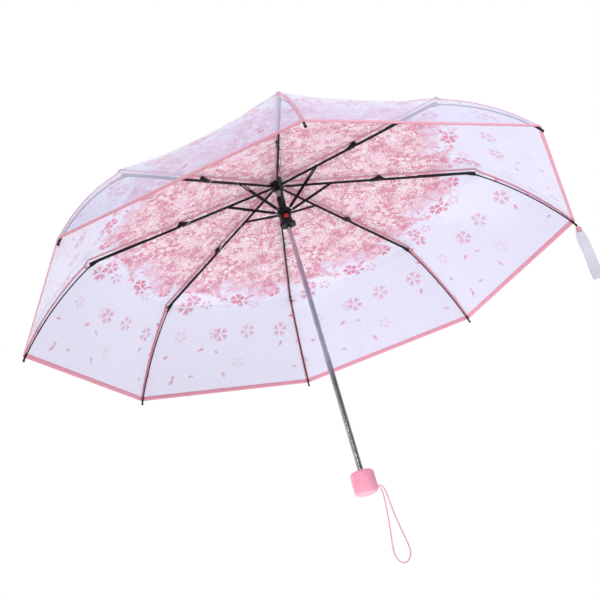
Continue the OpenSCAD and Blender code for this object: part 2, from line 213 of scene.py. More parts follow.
cad_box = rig.bounds()
RIBS = 8
HALF = math.pi / RIBS
SIDES = ((-1, "left"), (1, "right"))
MM = 0.001
joint = {j["name"]: j for j in frame["joints"]}
print("bodies:", len(frame["bodies"]), "CAD nodes:", len(frame["nodes"]))


def nothing_selected():
    """Operators act on all that is selected, so each step starts from nothing."""
    bpy.ops.object.select_all(action="DESELECT")


def take(thing):
    """Makes one object the selected and active one."""
    nothing_selected()
    thing.select_set(True)
    bpy.context.view_layer.objects.active = thing


# %% [markdown]
# The camera looks up under the rim from below and a little to the left, so that most of the
# canopy shows its inside. A lens of about 57 mm on a 36 mm sensor keeps the shape natural. A
# camera is turned most safely by building its three axes: it looks along its own -Z, with +Y up.

# %% Camera
CAMERA_AT = Vector((-0.165, -1.449, -0.296))
LOOKS_ALONG = Vector((0.0933, 0.9115, 0.4007)).normalized()
ROUGHLY_UP = Vector((0.2379, -0.4112, 0.8800))
LENS_MM = 57.19
SENSOR_MM = 36

to_right = LOOKS_ALONG.cross(ROUGHLY_UP).normalized()
up = to_right.cross(LOOKS_ALONG)
turned = Matrix((to_right, up, -LOOKS_ALONG)).transposed()
bpy.ops.object.camera_add(location=CAMERA_AT, rotation=turned.to_euler())
camera = bpy.context.object
camera.name = "camera"
camera.data.lens = LENS_MM
camera.data.sensor_width = SENSOR_MM
bpy.context.scene.camera = camera
print("camera at", [round(x, 3) for x in camera.location])

# %% [markdown]
# ## Shader maths as sums
# A pattern is a chain of Math nodes. Written as nodes it is long, and written as a sum it is
# short, so a small class wraps a socket: each operator adds the node that does it. Colours and
# vectors would turn grey in a Math node, so they go through Mix and Vector Math nodes instead.

# %% A socket that takes part in sums, and a finish that holds the nodes


def connect(tree, socket, value):
    """Feeds a socket with a Shade, or sets its number or colour."""
    if isinstance(value, Shade):
        tree.links.new(value.socket, socket)
    elif value is not None:
        socket.default_value = value


class Shade:
    def __init__(self, tree, socket):
        self.tree, self.socket = tree, socket

    def math(self, operation, other=None, flip=False, clamp=False):
        made = self.tree.nodes.new("ShaderNodeMath")
        made.operation, made.use_clamp = operation, clamp
        pair = (other, self) if flip else (self, other)
        for socket, value in zip(made.inputs, pair):
            connect(self.tree, socket, value)
        return Shade(self.tree, made.outputs[0])

    def __add__(self, other):
        return self.math("ADD", other)

    def __sub__(self, other):
        return self.math("SUBTRACT", other)

    def __rsub__(self, other):
        return self.math("SUBTRACT", other, flip=True)

    def __mul__(self, other):
        return self.math("MULTIPLY", other)

    def __truediv__(self, other):
        return self.math("DIVIDE", other)

    def __pow__(self, other):
        return self.math("POWER", other)

    def __lt__(self, other):
        return self.math("LESS_THAN", other)

    def __gt__(self, other):
        return self.math("GREATER_THAN", other)

    def most(self, other):
        return self.math("MAXIMUM", other)

    def least(self, other):
        return self.math("MINIMUM", other)

    def fit(self):
        """The value, kept between 0 and 1."""
        return self.math("ADD", 0.0, clamp=True)

    __radd__ = __add__
    __rmul__ = __mul__


class Finish:
    """A material with its Principled shader, and the one method that adds any other node."""

    def __init__(self, name, **fixed):
        self.material = bpy.data.materials.new(name)
        self.material.use_nodes = True
        self.tree = self.material.node_tree
        self.shader = self.tree.nodes["Principled BSDF"]
        for socket, value in fixed.items():
            self.shader.inputs[socket.replace("_", " ")].default_value = value

    def node(self, kind, settings, sockets, out=0):
        """Adds a node: its type, its settings, what its sockets get, and the outputs wanted."""
        made = self.tree.nodes.new("ShaderNode" + kind)
        for name, value in settings.items():
            setattr(made, name, value)
        for name, value in sockets.items():
            connect(self.tree, made.inputs[name], value)
        if isinstance(out, tuple):
            return [Shade(self.tree, made.outputs[name]) for name in out]
        return Shade(self.tree, made.outputs[out])

    def surface(self, **driven):
        for socket, value in driven.items():
            connect(self.tree, self.shader.inputs[socket.replace("_", " ")], value)
        return self.material

    def place(self, stretch=(1, 1, 1), turn=(0, 0, 0)):
        """Object coordinates, through a Mapping node."""
        where = self.node("TexCoord", {}, {}, "Object")
        return self.node("Mapping", {}, {"Vector": where, "Scale": stretch, "Rotation": turn})

    def noise(self, where, scale, detail=2.0, rough=0.5):
        sockets = {"Vector": where, "Scale": scale, "Detail": detail, "Roughness": rough}
        return self.node("TexNoise", {}, sockets, 0)

    def between(self, value, low, high, to_low=0.0, to_high=1.0):
        """The value, spread smoothly from low..high to to_low..to_high, and held outside."""
        sockets = {"Value": value, "From Min": low, "From Max": high,
                   "To Min": to_low, "To Max": to_high}
        return self.node("MapRange", {"interpolation_type": "SMOOTHSTEP"}, sockets)

    def mix(self, share, first, second):
        """The first colour where share is 0, the second where it is 1."""
        made = self.tree.nodes.new("ShaderNodeMix")
        made.data_type = "RGBA"
        for number, value in ((0, share), (6, first), (7, second)):
            connect(self.tree, made.inputs[number], value)
        return Shade(self.tree, made.outputs[2])

    def bump(self, height, depth, strength=1.0):
        return self.node("Bump", {}, {"Height": height, "Distance": depth, "Strength": strength})


def colour(text):
    """A colour such as #f0a0b4 as the four numbers that a shader takes."""
    parts = [int(text[i:i + 2], 16) / 255 for i in (1, 3, 5)]
    return tuple(c / 12.92 if c <= 0.04045 else ((c + 0.055) / 1.055) ** 2.4 for c in parts) + (1.0,)


print("colour of pure white:", colour("#ffffff"))

# %% [markdown]
# ## The cord and where it hangs
# The wrist cord is one loop. It leaves a slot in the handle's side, hangs under its own weight
# and goes back in at the same slot. A curve with a round bevel would do, but a braid needs a map
# that follows the cord, so the tube is swept here, ring by ring, with its own UV map: once round
# for each ring, and metres along.

# %% Cord route, as in the CAD model, and a smooth line through it
CORD_D = 2 * MM
CORD_FACES = 12
CORD_SIDE = math.radians(-25)
CORD_ROUTE = [
    (13.6, 0, 7), (19, 0, 7), (22, 0, 6.8), (25, 0.4, 5), (27, 0.8, 2), (28.4, 1, -3),
    (29.4, 1, -12), (30.4, 0.8, -26), (31.8, 0.4, -42), (33.8, 0, -58), (36.2, 0, -74),
    (38.4, 0, -88), (39, 0, -97), (37.4, 0, -105), (33.4, 0, -111), (27.6, 0, -113.6),
    (21.6, 0, -112), (17, 0, -107), (14.4, 0, -99), (14.2, 0, -90), (15.8, 0, -78),
    (18.4, -0.2, -62), (20.8, -0.4, -46), (22.8, -0.8, -30), (24, -1, -16), (24.2, -1, -6),
    (23.4, -0.8, 0), (21.6, -0.4, 3.4), (19, 0, 4.4), (13.6, 0, 4.4),
]


def smooth_line(points, steps):
    """A curve through all of the points, with that many steps between two of them."""
    p = np.array([points[0], *points, points[-1]], float)
    line = []
    for a, b, c, d in zip(p, p[1:], p[2:], p[3:]):
        for t in np.arange(steps) / steps:
            line.append(0.5 * (2 * b + (c - a) * t + (2 * a - 5 * b + 4 * c - d) * t * t
                               + (3 * b - a - 3 * c + d) * t ** 3))
    return np.array(line + [p[-1]])


def run_along(points):
    """Distance from the first point to each point, along the line."""
    return np.concatenate([[0], np.cumsum(np.linalg.norm(np.diff(points, axis=0), axis=1))])


turn_side = np.array(Matrix.Rotation(CORD_SIDE, 3, "Z"))
cord_line = smooth_line(CORD_ROUTE, 5) * MM @ turn_side.T
cord_length = float(run_along(cord_line)[-1])
print("cord length", round(cord_length, 4), "m")


# %% A mesh from rows of points, with a UV map in metres
def grid_mesh(name, rows, uv, finish, closed=False):
    """Joins rows of points with four-sided faces. uv has a pair for each point."""
    high, wide = rows.shape[:2]
    across = wide if closed else wide - 1
    faces, corners = [], []
    for i in range(high - 1):
        for j in range(across):
            n = (j + 1) % wide
            faces.append((i * wide + j, i * wide + n, (i + 1) * wide + n, (i + 1) * wide + j))
            corners += [uv[i, j], uv[i, j + 1], uv[i + 1, j + 1], uv[i + 1, j]]
    mesh = bpy.data.meshes.new(name)
    mesh.from_pydata(rows.reshape(-1, 3).tolist(), [], faces)
    layer = mesh.uv_layers.new(name="along")
    layer.data.foreach_set("uv", np.array(corners, np.float32).ravel())
    mesh.shade_smooth()
    mesh.materials.append(finish)
    thing = bpy.data.objects.new(name, mesh)
    bpy.context.scene.collection.objects.link(thing)
    return thing


def close_ends(tube):
    """Caps both open ends of a tube or strip, and turns every face outwards."""
    take(tube)
    bpy.ops.object.mode_set(mode="EDIT")
    bpy.ops.mesh.select_mode(type="EDGE")
    bpy.ops.mesh.select_all(action="DESELECT")
    bpy.ops.mesh.select_non_manifold()
    bpy.ops.mesh.edge_face_add()
    bpy.ops.mesh.select_all(action="SELECT")
    bpy.ops.mesh.normals_make_consistent(inside=False)
    bpy.ops.object.mode_set(mode="OBJECT")


NEVER_ALONG = (0.02, 1, 0.3)


def unit(ways):
    """Directions, one in each row, made one long."""
    return ways / np.linalg.norm(ways, axis=1)[:, None]


def swept(name, line, radius, sides, finish):
    """A round tube along a line that never runs along NEVER_ALONG, with closed ends."""
    ways = unit(np.gradient(line, axis=0))
    side = unit(np.cross(ways, NEVER_ALONG))
    over = np.cross(ways, side)
    angle = np.linspace(0, 2 * math.pi, sides, endpoint=False)[None, :, None]
    out = np.cos(angle) * side[:, None] + np.sin(angle) * over[:, None]
    rows = line[:, None] + radius * out
    along = run_along(line)
    around = np.linspace(0, 2 * math.pi * radius, sides + 1)
    uv = np.stack(np.broadcast_arrays(around[None, :], along[:, None]), axis=2)
    tube = grid_mesh(name, rows, uv, finish, closed=True)
    close_ends(tube)
    return tube


# %% [markdown]
# A braided cord shows two sets of strands that cross. Two sets of waves, one running each way
# round the cord, give that. The higher of the two is on top, and the bump turns it into strands.

# %% Braid of the cord
braid = Finish("pink_braid", Roughness=0.75, Sheen_Weight=0.3)
uv_point = braid.node("UVMap", {"uv_map": "along"}, {})
around, along = braid.node("SeparateXYZ", {}, {"Vector": uv_point}, ("X", "Y"))
WAVES_ROUND = 4
TURNS = 2 * WAVES_ROUND / CORD_D
left = (around * TURNS + along * TURNS * 0.5).math("SINE")
right = (around * TURNS - along * TURNS * 0.5).math("SINE")
strands = left.most(right) * 0.5 + 0.5
fuzz = braid.noise(uv_point, 900.0)
cord_finish = braid.surface(
    Base_Color=braid.mix(strands * 0.8 + fuzz * 0.2, colour("#e79bb1"), colour("#eda9bb")),
    Normal=braid.bump(strands, 0.06 * MM, 0.3),
)
cord = swept("wrist_cord_braided", cord_line, CORD_D / 2, CORD_FACES, cord_finish)
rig.ride(cord, "handle")
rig.replaces(cord, "wrist_cord")
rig.slot(cord, "pink_cord")
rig.cord(cord, exit=(Matrix.Rotation(CORD_SIDE, 3, "Z") @ Vector((19 * MM, 0, 7 * MM))),
        length=round(cord_length, 3), diameter=CORD_D, far_end="object", stiffness="limp",
        lay="hanging", path=cord_line.tolist(), with_pieces=["cord_knot"])
print("cord faces", len(cord.data.polygons))

# %% [markdown]
# ## Where the film runs
# The film is stretched over the ribs a little above them. Its line in the plane of one rib is
# read off the joints: straight from the crown to the elbow and on to the knee, then over the bow
# of the outer rib to the hem. The line is kept in four zones, crown, inner, middle and outer,
# because each zone will be hung on a rib of its own.

# %% Line of the film over one rib
FILM_RISE = 8.45 * MM
HEM_RISE = 3.55 * MM
BOW = 10 * MM
TIP_SHOW = 7 * MM
STRAP_UNDER_TIP = 2.9 * MM


def plane_point(name):
    """A joint of rib 2, which lies along +X, as distance from the shaft and height."""
    x, _, z = joint[name]["pos_m"]
    return np.array((x, z))


def towards(angle):
    """One step in the rib's plane, at an angle above the level."""
    return np.array((math.cos(angle), math.sin(angle)))


notch = plane_point("notch_hinge_2")
elbow, knee = plane_point("elbow_hinge_2"), plane_point("knee_hinge_2")
tip = plane_point("strap_hang") + (0, STRAP_UNDER_TIP)
rib_x, _, rib_z = joint["link_slide_2"]["axis"]
down_rib = np.array((rib_x, rib_z))
off_rib = np.array((-rib_z, rib_x))
slope = -math.atan2(rib_z, rib_x)
elbow_at = float((elbow - notch) @ down_rib)
knee_at = float((knee - notch) @ down_rib)
outer_chord = tip - knee
outer_long = float(np.linalg.norm(outer_chord))
outer_slope = -math.atan2(outer_chord[1], outer_chord[0])
bow_r = (outer_long ** 2 / 4 + BOW ** 2) / (2 * BOW)
bow_half = math.asin(outer_long / 2 / bow_r)
knee_half = (outer_slope - slope) / 2
HEM_AT = (outer_long - TIP_SHOW) / outer_long


def over_inner(d):
    """Where the film is, at distance d from the notch along the inner and middle rib."""
    return notch + d * down_rib + FILM_RISE * off_rib


def over_outer(t):
    """Where the film is over the bowed outer rib, at share t of the way from knee to tip."""
    swing = bow_half * (2 * t - 1)
    flat = bow_r * math.sin(swing) + outer_long / 2
    high = bow_r * (math.cos(swing) - math.cos(bow_half))
    rise = FILM_RISE + (HEM_RISE - FILM_RISE) * t
    return (knee + flat * towards(-outer_slope) + high * towards(math.pi / 2 - outer_slope)
            + rise * towards(math.pi / 2 - outer_slope - swing))


knee_corner = over_inner(knee_at + FILM_RISE * math.tan(knee_half))
print("rib slope", round(math.degrees(slope), 2), "outer slope", round(math.degrees(outer_slope), 2))

# %% Points down the film: one list for each zone
CROWN_FROM, CROWN_TO = 2 * MM, 16 * MM
zone_line = {
    "crown": [over_inner(d) for d in np.linspace(CROWN_FROM, CROWN_TO, 4)],
    "inner": [over_inner(d) for d in np.linspace(CROWN_TO, elbow_at, 17)],
    "middle": [over_inner(d) for d in np.linspace(elbow_at, knee_at, 18)[:-1]] + [knee_corner],
    "outer": [knee_corner] + [over_outer(t) for t in np.linspace(0, HEM_AT, 21)[1:]],
}
zone_line = {name: np.array(points) for name, points in zone_line.items()}
along_at, reached = {}, 0.0
for name, points in zone_line.items():
    along_at[name] = reached + run_along(points)
    reached = float(along_at[name][-1])


def end_to_end(parts):
    """Joins the zones' rows to one line. Two neighbours share a row, which is taken once."""
    return np.concatenate([parts["crown"][:1]] + [rows[1:] for rows in parts.values()])


def by_zone(rows):
    """Cuts the one line into the zones again."""
    parts, first = {}, 0
    for name, points in zone_line.items():
        parts[name] = rows[first:first + len(points)]
        first += len(points) - 1
    return parts


whole = end_to_end(zone_line)
heading_at = by_zone(unit(np.gradient(whole, axis=0)))
print("film from crown to hem", round(reached, 3), "m")

# %% [markdown]
# Only the film right over a rib has the rib's sharp knee. Half way to the next rib it rounds the
# corner off. A running average along the line, weighted by a bell curve, makes that rounder line.
# It is held at the crown and the hem, where the film has to stay.

# %% The same line with its corner eased, for the film between two ribs
EASE = 38 * MM
whole_along = end_to_end(along_at)
weights = np.exp(-((whole_along[:, None] - whole_along[None, :]) / EASE) ** 2 / 2)
weights *= np.gradient(whole_along)[None, :]
eased = weights @ whole / weights.sum(axis=1, keepdims=True)
near_end = np.minimum(whole_along - whole_along[0], reached - whole_along)[:, None]
freed = np.clip(near_end / (3 * EASE), 0, 1) ** 1.5
eased = whole + (eased - whole) * freed
eased_line = by_zone(eased)
print("the knee's corner is eased by", round(float(np.abs(eased - whole).max()) / MM, 1), "mm")

# %% [markdown]
# ## The film
# Eight printed panels meet at the ribs. Between two ribs a panel is stretched straight across,
# sags a few millimetres inwards and puckers along the seams. One curved sheet is worked out for
# the whole canopy. To let it fold, it is cut where the real one creases: at the ribs, the elbows,
# the knees and along the middle of each panel. Each piece rides on its rib and gathers towards it
# as the runner comes down.

# %% One half panel as rows of points
ACROSS = 14
PANEL_SAG = 3 * MM
PUCKER = 0.35 * MM
PUCKER_STEP = 11 * MM
PUCKER_DRIFT = 47 * MM
PUCKER_REACH = 22 * MM
CALM_TOP = 50 * MM
CALM_HEM = 20 * MM


def panel_rows(zone, side, share):
    """Rows of points from the rib to the middle of the panel, for rib 2, which lies along +X."""
    s = along_at[zone][:, None]
    off = np.sin(math.pi / 2 * share)
    over_rib, between_ribs = zone_line[zone], eased_line[zone]
    r, z = (over_rib[:, [i]] * (1 - off) + between_ribs[:, [i]] * off for i in (0, 1))
    mid_r = r * math.cos(HALF)
    x = r + (mid_r * math.cos(HALF) - r) * share
    y = side * mid_r * math.sin(HALF) * share
    sag = PANEL_SAG * np.sin(math.pi * s / reached) * off
    waves = np.sin(s / PUCKER_STEP + 1.3 * np.sin(s / PUCKER_DRIFT))
    pucker = PUCKER * waves * np.exp(-np.abs(y) / PUCKER_REACH) * (share > 0)
    calm = np.clip(s / CALM_TOP, 0, 1) * np.clip((reached - s) / CALM_HEM, 0, 1)
    ahead, rise = heading_at[zone][:, [0]], heading_at[zone][:, [1]]
    normal = np.stack([-rise, -side * rise * math.tan(HALF), ahead], axis=2)
    normal /= np.linalg.norm(normal, axis=2, keepdims=True)
    inward = (sag + pucker) * calm
    rows = np.stack(np.broadcast_arrays(x, y, z), axis=2) - inward[:, :, None] * normal
    width = (1 - share) * r * math.sin(HALF)
    uv = np.stack(np.broadcast_arrays(side * width, s), axis=2)
    return rows, uv


def turn_to(k, size=3):
    """The turn round the shaft from rib 2 to rib k, as a matrix."""
    return Matrix.Rotation(2 * math.pi / RIBS * (k - 2), size, "Z")


def round_to(rows, k):
    """Turns points from rib 2 to rib k."""
    return rows @ np.array(turn_to(k)).T


def ends_on(line, k):
    """The two ends of a line in rib 2's plane, as points in space on rib k."""
    return [round_to(np.array((p[0], 0, p[1])), k) for p in (line[0], line[-1])]


print("width of a panel at the hem", round(2 * zone_line["outer"][-1][0] * math.sin(HALF), 3), "m")

# %% [markdown]
# The print is what the eye goes to: a dense mass of blossom round the crown, which frays out
# before the knees, and then single flowers and petals that get fainter towards the hem. A list of
# placed flowers would do, but cells are lighter: a Voronoi texture drops one point in each cell,
# and its Position output says where, so that every cell can draw one flower round its own point.
# The UV map is in metres, so cell sizes, flower sizes and distances from the crown are real ones.

# %% Blossoms and petals as masks
PETALS = 5
Spot = namedtuple("Spot", "x y turn keep tone down")


def scatter(finish, where, cell, spread, shift):
    """The way from the nearest cell's own point, its three random numbers and its place down."""
    moved = finish.node("VectorMath", {"operation": "ADD"}, {0: where, 1: (shift, shift, 0)})
    sockets = {"Vector": moved, "Scale": 1 / cell, "Randomness": spread}
    flat = {"voronoi_dimensions": "2D"}
    point, chance = finish.node("TexVoronoi", flat, sockets, ("Position", "Color"))
    gap = finish.node("VectorMath", {"operation": "SUBTRACT"}, {0: moved, 1: point})
    x, y = finish.node("SeparateXYZ", {}, {"Vector": gap}, ("X", "Y"))
    parts = ("Red", "Green", "Blue")
    turn, keep, tone = finish.node("SeparateColor", {}, {"Color": chance}, parts)
    down = finish.node("SeparateXYZ", {}, {"Vector": point}, "Y") - shift
    return Spot(x, y, turn, keep, tone, down)


def blossom(finish, spot, radius, soft=0.08):
    """Petals with a notch in each tip, and an edge as soft as asked."""
    far = (spot.x * spot.x + spot.y * spot.y) ** 0.5 / radius
    angle = spot.y.math("ARCTAN2", spot.x) / (2 * math.pi) + spot.turn
    off_petal = ((angle * PETALS).math("FRACT") - 0.5).math("ABSOLUTE") * 2
    wide = (far.least(1.0) ** 1.35 * math.pi).math("SINE") ** 0.55 * 0.88
    notched = 1.0 - (0.22 - off_petal).most(0.0) * 1.3
    inside = finish.between(wide - off_petal, 0.0, soft * 2)
    return inside * finish.between(notched - far, 0.0, soft)


def petal(finish, spot, length):
    """One loose petal, thinner at one end."""
    angle = spot.turn * 2 * math.pi
    ahead = (spot.x * angle.math("COSINE") + spot.y * angle.math("SINE")) / (length / 2)
    aside = (spot.y * angle.math("COSINE") - spot.x * angle.math("SINE")) / (length / 2)
    thick = ahead * 0.22 + 0.42
    reach = (ahead * ahead + (aside / thick) ** 2.0) ** 0.5
    return finish.between(1.0 - reach, 0.0, 0.15)


# %% Film, and where on it the dense mass ends
MASS_GONE, MASS_FULL = 0.362, 0.24  # metres from the crown
film = Finish("printed_film", Roughness=0.16, IOR=1.45, Specular_IOR_Level=0.5)
uv_point = film.node("UVMap", {"uv_map": "along"}, {})
down_way = film.node("SeparateXYZ", {}, {"Vector": uv_point}, "Y")
ragged = film.noise(uv_point, 24.0, 4.0, 0.6)
fine = film.noise(uv_point, 160.0, 3.0, 0.65)
mass_edge = down_way + (ragged - 0.5) * 0.2 + (fine - 0.5) * 0.06
body = film.between(mass_edge, MASS_GONE, MASS_FULL)
print("the mass is full to", MASS_FULL, "m and gone at", MASS_GONE, "m, give or take its rags")

# %% Single flowers and loose petals
# cell, radius, spread, shift, from where to where they thin out, share of cells, softness
FLOWER_SETS = (
    (0.083, 0.0165, 0.5, 3.1, 0.33, 0.41, 0.9, 0.08),
    (0.078, 0.0190, 0.6, 7.7, 0.36, 0.52, 0.65, 0.25),
    (0.066, 0.0160, 0.7, 2.3, 0.30, 0.46, 0.50, 0.4),
)
# cell, length, spread, shift, share of cells
PETAL_SETS = ((0.050, 0.0125, 0.8, 11.3, 0.16), (0.061, 0.0145, 0.8, 5.9, 0.26))
flowers = []
for cell, radius, spread, shift, start, stop, most, soft in FLOWER_SETS:
    spot = scatter(film, uv_point, cell, spread, shift)
    shown = spot.keep < film.between(spot.down, start, stop, most, most * 0.4)
    strength = film.between(spot.down, 0.33, 0.46, 1.0, 0.75) * (spot.tone * 0.25 + 0.75)
    flowers.append(blossom(film, spot, radius, soft) * shown * strength * (1 - soft * 0.5))
for cell, length, spread, shift, most in PETAL_SETS:
    spot = scatter(film, uv_point, cell, spread, shift)
    strength = film.between(spot.down, 0.32, 0.5, 1.0, 0.7) * (spot.tone * 0.3 + 0.7)
    flowers.append(petal(film, spot, length) * (spot.keep < most) * strength)
loose = flowers[0]
for one in flowers[1:]:
    loose = loose.most(one)
print("sets of flowers and petals", len(flowers))

# %% [markdown]
# Inside the mass the flowers lie over each other on a cloudy pink ground, with thin white strokes
# and flecks between them. Two more sets of cells give small and large flowers, and each flower
# takes its tone, from pale to deep pink, from its cell's random number.

# %% The dense mass round the crown
near = scatter(film, uv_point, 0.0115, 0.9, 1.7)
small = blossom(film, near, 0.0072)
wider = scatter(film, uv_point, 0.019, 0.9, 9.1)
large = blossom(film, wider, 0.0125)


def petal_tone(spot, pale, deep):
    """Pale in some cells and deep in others."""
    return film.mix(film.between(spot.tone, 0.3, 0.7), colour(pale), colour(deep))


soft_cloud = film.noise(uv_point, 85.0, 4.0, 0.65)
ground = film.mix(film.between(soft_cloud, 0.36, 0.62), colour("#d4718f"), colour("#f9d2e0"))
ground = film.mix(small * 0.85, ground, petal_tone(near, "#f8e2ee", "#cf6288"))
ground = film.mix(large * (wider.keep < 0.55) * 0.75, ground,
                  petal_tone(wider, "#f6d2e2", "#d06c94"))
wisps = film.noise(uv_point, 90.0, 1.0, 0.4)
broken = film.noise(uv_point, 48.0, 1.0, 0.5)
strokes = film.between((wisps - 0.5).math("ABSOLUTE"), 0.03, 0.012)
strokes = strokes * film.between(broken, 0.46, 0.52)
flecks = film.between(film.noise(uv_point, 300.0, 2.0, 0.5), 0.6, 0.68)
ground = film.mix(strokes.most(flecks * 0.6), ground, colour("#ffffff"))
ground = film.mix(film.between(body, 0.2, 0.95), colour("#eb9ab4"), ground)
clumps = small.most(large)
mass = (body * 1.6 - 0.6 + body.least(0.6) * clumps * 0.9).fit()
print("print nodes", len(film.tree.nodes))

# %% The printed film
FILM_TINT = "#dcd9fe"
LOOSE_PINK = "#e06a90"
FILM_ALPHA, INK_ALPHA = 0.6, 0.92
print_tone = film.mix(mass, colour(LOOSE_PINK), ground)
ink = mass.most(loose)
ripple = film.noise(uv_point, 9.0, 2.0, 0.5)
film_finish = film.surface(
    Base_Color=film.mix(ink, colour(FILM_TINT), print_tone),
    Alpha=film.between(ink, 0.0, 1.0, FILM_ALPHA, INK_ALPHA),
    Roughness=ink * 0.35 + 0.14,
    Normal=film.bump(ripple, 4 * MM, 0.5),
)
print("film nodes", len(film.tree.nodes))

# %% [markdown]
# Each piece rides on its own rib, so it turns with it at every joint. Between the ribs there is
# less and less room as they fold, so each piece also gathers to a small share of its width, and
# it does so at right angles to its rib, which leaves the edges along the rib where they are.

# %% Hang the film on the ribs
BODY = {"inner": "inner_rib_", "middle": "middle_rib_", "outer": "outer_rib_"}
KEEP = {"inner": 0.13, "middle": 0.09, "outer": 0.075}
share = np.linspace(0, 1, ACROSS)[None, :]
film_pieces = {}
for zone, rib in BODY.items():
    for side, word in SIDES:
        rows, uv = panel_rows(zone, side, share)
        edge, far = rows[:, 0], rows[:, -1]
        if side > 0:
            rows, uv = rows[:, ::-1], uv[:, ::-1]
        way = edge[-1] - edge[0]
        way /= np.linalg.norm(way)
        gather = (far - edge).mean(axis=0)
        gather -= (gather @ way) * way
        lengths = np.linalg.norm(np.diff(edge, axis=0), axis=1)
        widths = np.linalg.norm(far - edge, axis=1)
        area = float((lengths * (widths[1:] + widths[:-1]) / 2).sum() * math.cos(HALF))
        flat = (float(widths.max()), float(lengths.sum()))
        for k in range(RIBS):
            piece = grid_mesh(f"film_{zone}_{word}_{k}", round_to(rows, k), uv, film_finish)
            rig.ride(piece, rib + str(k))
            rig.squash(piece, "runner_slide", axis=round_to(gather, k),
                      anchor=round_to(edge.mean(axis=0), k), keep=KEEP[zone])
            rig.slot(piece, "clear_film")
            film_pieces[zone, word, k] = (piece, flat, area)
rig.replaces(film_pieces["inner", "left", 0][0], "canopy")
print("film pieces", len(film_pieces))

# %% [markdown]
# ## Tape, binding and stitches
# Every seam is bound with a narrow woven tape, and the hem with a wider one folded over the edge.
# A tape is a thin shell with a real thickness. It follows the film on both sides of the rib, so
# its cross-section is a shallow V.

# %% Woven tape
WEFT_STEP = 0.9 * MM
WARP_STEP = 0.7 * MM
STITCH_STEP = 3 * MM
STITCH_FROM_MIDDLE = 2.1 * MM
STITCH_HALF = 0.22 * MM


def woven(name, dark, light):
    """A ribbed tape with a row of stitches near each edge. The map runs across, then along."""
    tape = Finish(name, Roughness=0.7, Sheen_Weight=0.25)
    point = tape.node("UVMap", {"uv_map": "along"}, {})
    across, down = tape.node("SeparateXYZ", {}, {"Vector": point}, ("X", "Y"))
    weft = (down * (2 * math.pi / WEFT_STEP)).math("SINE") * 0.5 + 0.5
    warp = (across * (2 * math.pi / WARP_STEP)).math("SINE") * 0.5 + 0.5
    weave = weft * 0.6 + warp * 0.4
    stitch = (down / STITCH_STEP).math("FRACT") < 0.7
    off_row = (across.math("ABSOLUTE") - STITCH_FROM_MIDDLE).math("ABSOLUTE")
    thread = stitch * (off_row < STITCH_HALF)
    worn = tape.noise(point, 120.0)
    shade = tape.mix(weave * 0.5 + worn * 0.5, colour(dark), colour(light))
    height = weave * 0.25 + thread * 0.75
    return tape.surface(Base_Color=tape.mix(thread * 0.6, shade, colour("#fbd6e0")),
                        Normal=tape.bump(height, 0.2 * MM))


tape_finish = woven("seam_tape", "#df7f9b", "#f0a3b7")
hem_finish = woven("hem_tape", "#e88ba7", "#f8b4c7")
print("tapes woven:", tape_finish.name, hem_finish.name)


# %% A strip with real thickness
def ribbon(name, edge, way_across, normal, half_wide, thick, finish, start=0.0):
    """A thin closed strip along edge. way_across gives the way out for side -1 or 1."""
    loop = [(-1, -0.5), (-0.8, -1), (0.8, -1), (1, -0.5), (1, 0.5), (0.8, 1), (-0.8, 1), (-1, 0.5)]
    rows = np.stack([edge + abs(a) * half_wide * way_across(np.sign(a)) + b * thick / 2 * normal
                     for a, b in loop], axis=1)
    along = start + run_along(edge)
    across = np.array([a * half_wide for a, _ in loop + loop[:1]])
    uv = np.stack(np.broadcast_arrays(across[None, :], along[:, None]), axis=2)
    strip = grid_mesh(name, rows, uv, finish, closed=True)
    close_ends(strip)
    bpy.ops.object.shade_smooth_by_angle(angle=math.radians(50))
    return strip


# %% Seam tapes over the ribs
TAPE_HALF = 3 * MM
TAPE_T = 0.7 * MM
JOINT_TAPE = 5 * MM


def spine(points):
    """Points of the rib's plane as points in space, with their upward normals."""
    ways = unit(np.gradient(points, axis=0))
    flat = np.zeros(len(points))
    edge = np.stack([points[:, 0], flat, points[:, 1]], axis=1)
    normal = np.stack([-ways[:, 1], flat, ways[:, 0]], axis=1)
    return edge, normal


def lean_across(sign):
    """Across the tape, the way the panel on that side runs."""
    return np.array((-math.sin(HALF), sign * math.cos(HALF), 0))


def tape_piece(name, points, start, k):
    """Tape along points of the rib's plane, on rib k. Its map begins at start."""
    edge, normal = spine(points)
    strip = ribbon(name, edge, lean_across, normal, TAPE_HALF, TAPE_T, tape_finish, start)
    strip.data.transform(turn_to(k, 4))
    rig.slot(strip, "pink_binding")
    return strip


def between_places(points, low, high):
    """The part of a line from distance low to high. A high of 0 or less counts from the end."""
    run = run_along(points)
    high = run[-1] + high if high <= 0 else high
    at = np.concatenate([[low], run[(run > low + MM) & (run < high - MM)], [high]])
    return np.stack([np.interp(at, run, points[:, i]) for i in (0, 1)], axis=1)


# %% [markdown]
# A stiff tape would tear at the elbow and the knee, so each tape stops short of them. A short
# piece covers each joint and bends with it: a blend moves its one end with one rib, its other end
# with the next rib, and what lies between with some of both.

